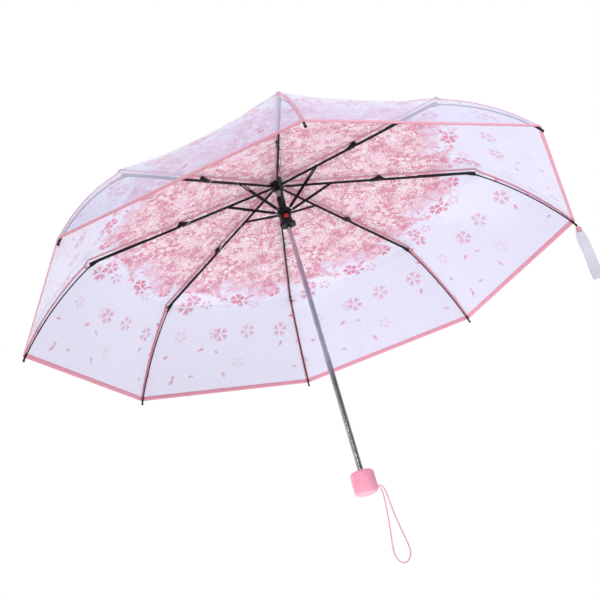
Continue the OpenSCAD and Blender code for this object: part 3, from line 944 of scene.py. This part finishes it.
# %% Tapes of the three lengths, and of the two joints
LENGTHS = (("inner", 0.0, -JOINT_TAPE), ("middle", JOINT_TAPE, -JOINT_TAPE),
           ("outer", JOINT_TAPE, -MM))
JOINTS = (("elbow", "inner", "middle"), ("knee", "middle", "outer"))
tapes = {}
for k in range(RIBS):
    for zone, low, high in LENGTHS:
        strip = tape_piece(f"seam_tape_{zone}_{k}", between_places(zone_line[zone], low, high),
                           along_at[zone][0] + low, k)
        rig.ride(strip, BODY[zone] + str(k))
        tapes[zone, k] = strip
    for name, first, second in JOINTS:
        ahead = between_places(zone_line[first][::-1], 0.0, JOINT_TAPE)[::-1]
        after = between_places(zone_line[second], 0.0, JOINT_TAPE)[1:]
        line = smooth_line(np.concatenate([ahead, after]), 6)
        strip = tape_piece(f"seam_tape_{name}_{k}", line, along_at[second][0] - JOINT_TAPE, k)
        ends = ends_on(line, k)
        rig.blend(strip, BODY[first] + str(k), BODY[second] + str(k), start=ends[0], end=ends[1])
        tapes[name, k] = strip
print("tapes", len(tapes))

# %% [markdown]
# The crown of the film passes over the notch. It is cut as eight small wedges that bend between
# the crown and each inner rib, which a blend across the notch hinge does.

# %% Crown of the film
HALF_WEDGE = 5
crown_r = zone_line["crown"][[0, -1], 0]
WEDGE_WIDE = 2 * float(crown_r[1]) * math.sin(HALF)
WEDGE_AREA = float(crown_r.sum()) * math.sin(HALF) * (CROWN_TO - CROWN_FROM)
for k in range(RIBS):
    left_rows, left_uv = panel_rows("crown", -1, np.linspace(1, 0, HALF_WEDGE)[None, :])
    right_rows, right_uv = panel_rows("crown", 1, np.linspace(0, 1, HALF_WEDGE)[None, :])
    rows = np.concatenate([left_rows, right_rows[:, 1:]], axis=1)
    uv = np.concatenate([left_uv, right_uv[:, 1:]], axis=1)
    wedge = grid_mesh(f"film_crown_{k}", round_to(rows, k), uv, film_finish)
    ends = ends_on(zone_line["crown"], k)
    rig.blend(wedge, "crown", f"inner_rib_{k}", start=ends[0], end=ends[1])
    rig.slot(wedge, "clear_film")
    film_pieces["crown", "both", k] = (wedge, (WEDGE_WIDE, CROWN_TO - CROWN_FROM), WEDGE_AREA)
print("crown wedges", RIBS, "each", round(WEDGE_WIDE, 4), "m wide")

# %% [markdown]
# The hem runs straight from tip to tip. Each binding is made in two halves, one on each rib, and
# a half gathers with the outer piece of film that it binds, by the same amount and the same way.

# %% Hem binding from each tip to the middle of the panel
HEM_W = 8 * MM
HEM_T = 1.3 * MM
HEM_STEPS = 13
rim = zone_line["outer"]
hem_r, hem_z = between_places(rim[::-1], HEM_W / 2, HEM_W)[0]
down_film = np.array((rim[-1][0] - rim[-3][0], 0, rim[-1][1] - rim[-3][1]))
hems = {}
for side, word in SIDES:
    mid_r = hem_r * math.cos(HALF)
    start = np.array((hem_r, 0, hem_z))
    stop = np.array((mid_r * math.cos(HALF), side * mid_r * math.sin(HALF), hem_z))
    edge = start + (stop - start) * np.linspace(0, 1, HEM_STEPS)[:, None]
    chord = (stop - start) / np.linalg.norm(stop - start)
    normal = np.cross(chord, down_film)
    normal *= np.sign(normal[2]) / np.linalg.norm(normal)
    outwards = np.cross(normal, chord)
    for k in range(RIBS):
        strip = ribbon(f"hem_{word}_{k}", edge, lambda sign: outwards * sign, normal,
                       HEM_W / 2, HEM_T, hem_finish)
        strip.data.transform(turn_to(k, 4))
        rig.ride(strip, f"outer_rib_{k}")
        gathered = film_pieces["outer", word, k][0]["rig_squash"]
        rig.squash(strip, "runner_slide", axis=gathered["axis"], anchor=gathered["anchor"],
                  keep=KEEP["outer"])
        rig.slot(strip, "pink_binding")
        hems[word, k] = strip
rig.replaces(hems["left", 0], "hem_binding")
print("hem pieces", len(hems))

# %% Say what each piece of film is
for (zone, word, k), (piece, flat, area) in film_pieces.items():
    if zone == "crown":
        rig.sheet(piece, flat=flat, held="stretched", rests_on=["crown_cap"], area=area)
        continue
    with_it = [tapes[zone, k]] if word == "left" else []
    if zone == "outer":
        with_it.append(hems[word, k])
    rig.sheet(piece, flat=flat, held="stretched", rests_on=[BODY[zone] + str(k)], area=area,
             with_pieces=with_it)
print("sheets declared", len(film_pieces))

# %% [markdown]
# ## The closure strap
# A strip of the same film hangs from one tip. It is pinched where it is sewn on, opens out to its
# full width and curls a little, because nothing pulls it straight.

# %% Film of the strap
STRAP_WIDE = 21 * MM
STRAP_LONG = 100 * MM
BORDER_IN, BORDER_OUT = 1.6 * MM, 1.2 * MM
strap_film = Finish("strap_film", Roughness=0.2, IOR=1.45)
uv_point = strap_film.node("UVMap", {"uv_map": "along"}, {})
across, down = strap_film.node("SeparateXYZ", {}, {"Vector": uv_point}, ("X", "Y"))
border = strap_film.between(across.math("ABSOLUTE"),
                            STRAP_WIDE / 2 - BORDER_IN, STRAP_WIDE / 2 - BORDER_OUT)
cloud = strap_film.noise(uv_point, 70.0)
strap_finish = strap_film.surface(
    Base_Color=strap_film.mix(border * 0.5 + cloud * 0.2, colour("#c9c6ec"), colour("#e9e6f6")),
    Alpha=strap_film.between(border * 0.4 + cloud * 0.3, 0.0, 0.7, 0.55, 0.85),
    Normal=strap_film.bump(cloud, 1 * MM, 0.4),
)
print("strap film nodes", len(strap_film.tree.nodes))

# %% Shape of the strap, and the tape at its root
STRAP_ROWS, STRAP_ACROSS = 33, 11
ROOT_SHARE = 0.36
SWAY, SIDE_SWAY, CURL, PLEAT = 4 * MM, 2 * MM, 3 * MM, 0.9 * MM
root = np.array((tip[0], 0, tip[1] - STRAP_UNDER_TIP))
down = np.linspace(0, 1, STRAP_ROWS)[:, None]
across = np.linspace(-1, 1, STRAP_ACROSS)[None, :]
opened = ROOT_SHARE + (1 - ROOT_SHARE) * np.clip(down / 0.22, 0, 1) ** 0.7
wide = STRAP_WIDE / 2 * opened * (1 - 0.06 * np.sin(math.pi * down))
sway = SWAY * np.sin(down * 2.4 * math.pi) * down
curl = CURL * (across ** 2 - 0.4) * (1 - 0.3 * down) * np.clip(down / 0.15, 0, 1)
pleat = PLEAT * np.cos(across * 3 * math.pi) * np.exp(-down / 0.09)
rows = np.stack(np.broadcast_arrays(
    root[0] + wide * across + SIDE_SWAY * np.sin(down * 2.2 * math.pi) * down,
    sway + curl + pleat,
    root[2] - STRAP_LONG * 0.995 * down,
), axis=2)
uv = np.stack(np.broadcast_arrays(wide * across, STRAP_LONG * down), axis=2)
strap = grid_mesh("closure_strap_film", rows, uv, strap_finish)
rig.ride(strap, "strap")
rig.replaces(strap, "closure_strap")
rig.slot(strap, "clear_film")
ROOT_UP, ROOT_DOWN, ROOT_HALF, ROOT_T = 0.5 * MM, 9 * MM, 4.2 * MM, 2.6 * MM
root_line = np.stack([root + (0, 0, ROOT_UP), root - (0, 0, ROOT_DOWN)])
strap_root = ribbon("strap_root_tape", root_line, lambda sign: np.array((sign, 0, 0)),
                    np.array((0, 1.0, 0)), ROOT_HALF, ROOT_T, hem_finish)
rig.ride(strap_root, "strap")
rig.slot(strap_root, "pink_binding")
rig.sheet(strap, flat=(STRAP_WIDE, STRAP_LONG), held="hung", rests_on=["outer_rib_2"],
         with_pieces=[strap_root])
print("strap", len(strap.data.polygons), "faces")

# %% [markdown]
# ## Hard finishes
# Each finish has a colour that varies a little, a roughness that varies with it and a fine bump.
# They read Object coordinates, which are metres here, so a scale of 1000 is a grain of 1 mm.

# %% Steel, black enamel, black plastic and the red button
STEEL_SHEEN = "#cdced5"


def steel(name, tone, fine_way):
    """Bright steel. fine_way stretches the grain: small along the drawn way of a tube."""
    metal = Finish(name, Metallic=1.0)
    long_grain = metal.noise(metal.place(stretch=fine_way), 60.0, 4.0, 0.6)
    spots = metal.noise(metal.place(), 35.0, 3.0)
    return metal.surface(
        Base_Color=metal.mix(metal.between(spots, 0.35, 0.7), colour(tone), colour(STEEL_SHEEN)),
        Roughness=long_grain * 0.1 + spots * 0.06 + 0.04,
        Normal=metal.bump(long_grain, 0.004 * MM, 0.5),
    )


def enamel(name, tone, other_tone, grain, rough, coat=0.0):
    """Paint or plastic in two close tones, with a fine skin and, if wanted, a clear coat."""
    paint = Finish(name, Coat_Weight=coat, Coat_Roughness=0.12, Specular_IOR_Level=0.35)
    skin = paint.noise(paint.place(), grain, 3.0, 0.55)
    cloud = paint.noise(paint.place(), 45.0)
    return paint.surface(
        Base_Color=paint.mix(paint.between(cloud, 0.45, 0.75), colour(tone), colour(other_tone)),
        Roughness=skin * 0.14 + cloud * 0.1 + rough,
        Normal=paint.bump(skin, 0.03 * MM),
    )


steel_tube = steel("bright_steel", "#b2b4bc", (30, 30, 1))
steel_wire = steel("steel_wire", "#c3c5cc", (8, 8, 8))
rib_enamel = enamel("rib_enamel", "#060607", "#0e0e11", 700.0, 0.3, 0.1)
wire_enamel = enamel("wire_enamel", "#060607", "#101014", 900.0, 0.32)
black_plastic = enamel("black_plastic", "#0a0a0c", "#141418", 1400.0, 0.36)
red_plastic = enamel("red_button_plastic", "#d3121a", "#e0222a", 900.0, 0.1, 0.6)
insert_plastic = enamel("insert_plastic", "#d9d4d6", "#e6e2e4", 700.0, 0.35)
print("tube finish", steel_tube.name, "rib finish", rib_enamel.name)

# %% [markdown]
# The handle has a soft-touch skin. Such a skin is matt, with hardly any grain, and lets a little
# light in, so it gets a low sheen, a little scattering below the surface and a very shallow bump.

# %% Pink handle
pink_touch = Finish("soft_pink_plastic", Subsurface_Weight=0.08, Sheen_Weight=0.15)
skin = pink_touch.noise(pink_touch.place(), 1800.0, 2.0, 0.5)
cloud = pink_touch.noise(pink_touch.place(), 40.0, 3.0)
handle_pink = pink_touch.surface(
    Base_Color=pink_touch.mix(pink_touch.between(cloud, 0.3, 0.7), colour("#f699b3"), colour("#fba9c0")),
    Roughness=skin * 0.12 + cloud * 0.08 + 0.38,
    Normal=pink_touch.bump(skin, 0.01 * MM, 0.12),
)
print("handle finish", handle_pink.name)

# %% Which CAD node gets which finish
finish_of = {
    "handle_grip": handle_pink, "base_cap": handle_pink, "handle_insert": insert_plastic,
    "cord_knot": cord_finish, "tube_pin": steel_wire, "lower_tube": steel_tube,
    "middle_tube": steel_tube, "upper_tube": steel_tube, "notch_wire": steel_wire,
    "runner_wire": steel_wire, "button_spring": steel_wire, "top_notch": black_plastic,
    "crown_cap": black_plastic, "runner": black_plastic, "runner_button": red_plastic,
}
finish_of_set = {"inner_rib": rib_enamel, "middle_rib": rib_enamel, "outer_rib": wire_enamel,
                 "stretcher": rib_enamel, "link_wire": steel_wire}
for name, thing in frame["nodes"].items():
    finish = finish_of.get(name) or finish_of_set.get(name.rsplit("_", 1)[0])
    if finish:
        thing.data.materials.clear()
        thing.data.materials.append(finish)
print("finishes", len(bpy.data.materials))

# %% [markdown]
# ## Floor, light and backdrop
# The piece is shown in the air over a pale floor. A clear film looks clean only in front of
# something bright and even, so the camera sees a plain white world. What that world shines is
# another matter: more comes from behind and from the left, so that the panels differ a little.
# The floor stays small, because a large one throws so much light up that the film goes flat.
# Three area lamps give the steel and the film something to reflect, and a narrow spot
# reaches the handle, which the canopy shades.

# %% Floor
FLOOR_SIZE = 3.4
FLOOR_Z = -0.9
nothing_selected()
bpy.ops.mesh.primitive_plane_add(size=FLOOR_SIZE, location=(0, 0, FLOOR_Z))
floor = bpy.context.object
floor.name = "studio_floor"
pale = Finish("pale_floor", Roughness=0.6)
floor.data.materials.append(pale.surface(
    Base_Color=pale.mix(pale.noise(pale.place(), 3.0), colour("#f1f1f2"), colour("#f6f6f6"))))
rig.stage(floor)
print("floor at", floor.location.z)

# %% World: white to the camera, and stronger from behind and from the left as a light
SHINE = 0.75
MORE_FROM_BEHIND, MORE_FROM_LEFT, MORE_FROM_ABOVE = 0.58, 0.2, 0.1
world = bpy.data.worlds.new("white_studio")
bpy.context.scene.world = world
world.use_nodes = True
sky = world.node_tree
seen = sky.nodes["Background"]
seen.inputs["Color"].default_value = (1, 1, 1, 1)
shines = sky.nodes.new("ShaderNodeBackground")
split = sky.nodes.new("ShaderNodeSeparateXYZ")
connect(sky, split.inputs[0], Shade(sky, sky.nodes.new("ShaderNodeTexCoord").outputs["Generated"]))
to_side, to_back, to_top = (Shade(sky, split.outputs[axis]) for axis in "XYZ")
strength = to_top * MORE_FROM_ABOVE + to_back * MORE_FROM_BEHIND - to_side * MORE_FROM_LEFT + SHINE
connect(sky, shines.inputs["Strength"], strength)
seen_ray = Shade(sky, sky.nodes.new("ShaderNodeLightPath").outputs["Is Camera Ray"])
choose = sky.nodes.new("ShaderNodeMixShader")
for number, value in enumerate((seen_ray, Shade(sky, shines.outputs[0]), Shade(sky, seen.outputs[0]))):
    connect(sky, choose.inputs[number], value)
connect(sky, sky.nodes["World Output"].inputs[0], Shade(sky, choose.outputs[0]))
bpy.context.scene.view_settings.view_transform = "Standard"
print("world nodes", len(sky.nodes))

# %% Lamps


def lamp(name, kind, place, target, power):
    """A lamp that faces a point."""
    facing = (Vector(target) - Vector(place)).to_track_quat("-Z", "Y").to_euler()
    bpy.ops.object.light_add(type=kind, location=place, rotation=facing)
    bpy.context.object.name = name
    bpy.context.object.data.energy = power
    return bpy.context.object.data


lamp("key_lamp", "AREA", (1.2, -1.0, 2.2), (0, 0, 0.45), 42).size = 1.4
lamp("under_lamp", "AREA", (-0.3, 0.6, -0.8), (0, 0, 0.5), 9).size = 1.0
strip_light = lamp("strip_lamp", "AREA", (-0.42, -1.5, -0.05), (0, 0, 0.25), 4)
strip_light.shape = "RECTANGLE"
strip_light.size, strip_light.size_y = 0.06, 1.3
grip_light = lamp("grip_lamp", "SPOT", (-0.5, -1.15, -0.35), (0, 0, 0.03), 38)
grip_light.spot_size = math.radians(22)
grip_light.spot_blend = 0.8
grip_light.shadow_soft_size = 0.2
print("lamps", sum(o.type == "LIGHT" for o in bpy.data.objects))

# %% Sizes, and the end
with open("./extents.json", "w") as sizes:
    json.dump({"cad": [list(c) for c in cad_box], "visual": [list(c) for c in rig.bounds()]}, sizes)
